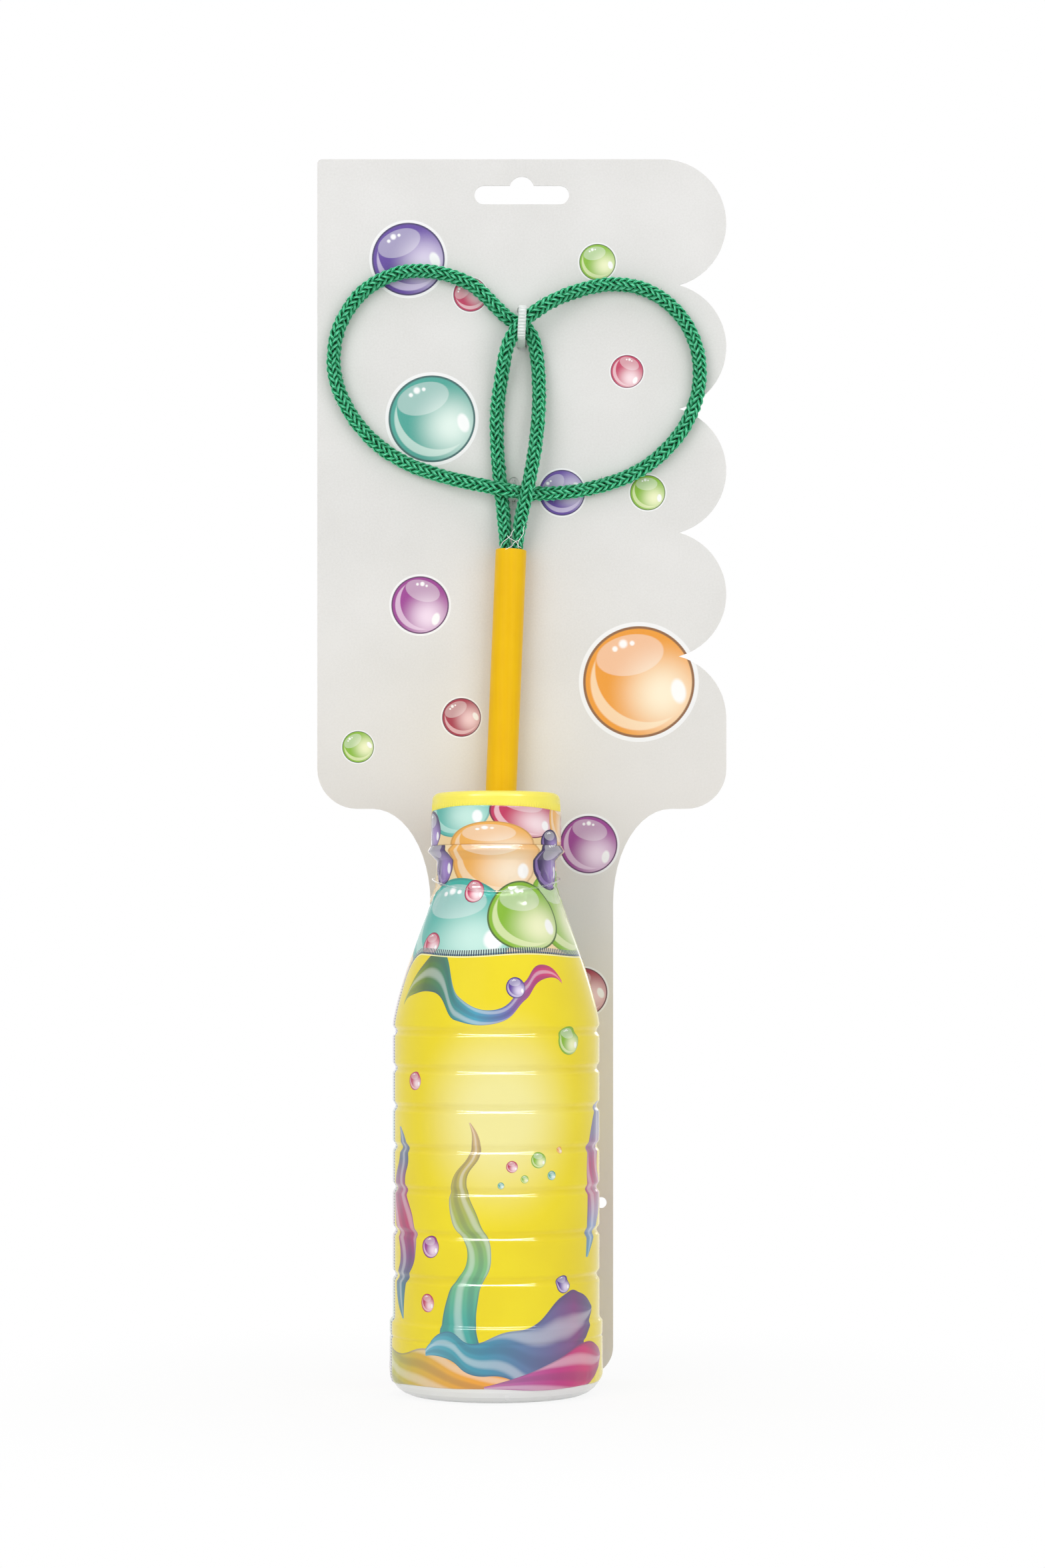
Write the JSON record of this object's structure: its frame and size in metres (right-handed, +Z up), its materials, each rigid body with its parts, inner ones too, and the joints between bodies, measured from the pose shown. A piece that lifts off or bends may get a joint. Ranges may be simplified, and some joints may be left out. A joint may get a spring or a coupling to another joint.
{
  "type": "bubble wand",
  "caption": "Rope-ring bubble wand with a tube handle, tied to a scalloped hang card in front of which its screw-capped bottle of bubble liquid stands.",
  "frame": {"origin": "centre of the bottle's standing ring, on the surface that the bottle stands on", "axes": "+Z up along the bottle's axis, -Y towards the viewer of the printed front, +X to the viewer's right"},
  "size_m": [0.1384, 0.0748, 0.4128],
  "materials": {
    "clear_bottle": "clear blow-moulded polyester",
    "liquid": "clear soap solution",
    "printed_film": "glossy printed shrink film",
    "neck_film": "glossy printed shrink film with bubbles",
    "cap_plastic": "moulded satin plastic",
    "foam": "fine closed-cell foam",
    "card_board": "matt coated board, printed on the front",
    "tube_plastic": "extruded tube, satin",
    "hot_melt": "clear hot-melt glue",
    "rope_cotton": "braided cotton rope",
    "clear_nylon": "clear nylon"
  },
  "bodies": {
    "bottle": {"bottle_shell": "clear_bottle", "bubble_liquid": "liquid", "body_sleeve": "printed_film", "tamper_band": "cap_plastic", "neck_line": "clear_nylon"},
    "cap_seal": {"cap_liner": "foam"},
    "cap": {"cap": "cap_plastic", "neck_sleeve": "neck_film"},
    "card": {"backing_card": "card_board", "top_tie_lock": "clear_nylon", "low_tie_lock": "clear_nylon", "neck_line_knot": "clear_nylon"},
    "wand": {"handle_tube": "tube_plastic", "tube_glue": "hot_melt", "ring_rope": "rope_cotton", "top_tie_loop": "clear_nylon", "low_tie_loop": "clear_nylon"}
  },
  "joints": [
    {"name": "cap_rise", "type": "slide", "parent": "bottle", "child": "cap_seal", "axis": [0, 0, 1], "range_m": [0, 0.0158]},
    {"name": "cap_turn", "type": "hinge", "parent": "cap_seal", "child": "cap", "pos_m": [0, 0, 0.19], "axis": [0, 0, 1], "range_deg": [0, 1350]},
    {"name": "card_release", "type": "slide", "parent": "bottle", "child": "card", "axis": [0, 1, 0], "range_m": [0, 0.06]},
    {"name": "wand_pull", "type": "slide", "parent": "card", "child": "wand", "axis": [0.0417, 0, 0.9991], "range_m": [0, 0.05]}
  ],
  "couplings": [
    {"joint": "cap_rise", "follows": "cap_turn", "m_per_rad": 0.00066845}
  ]
}
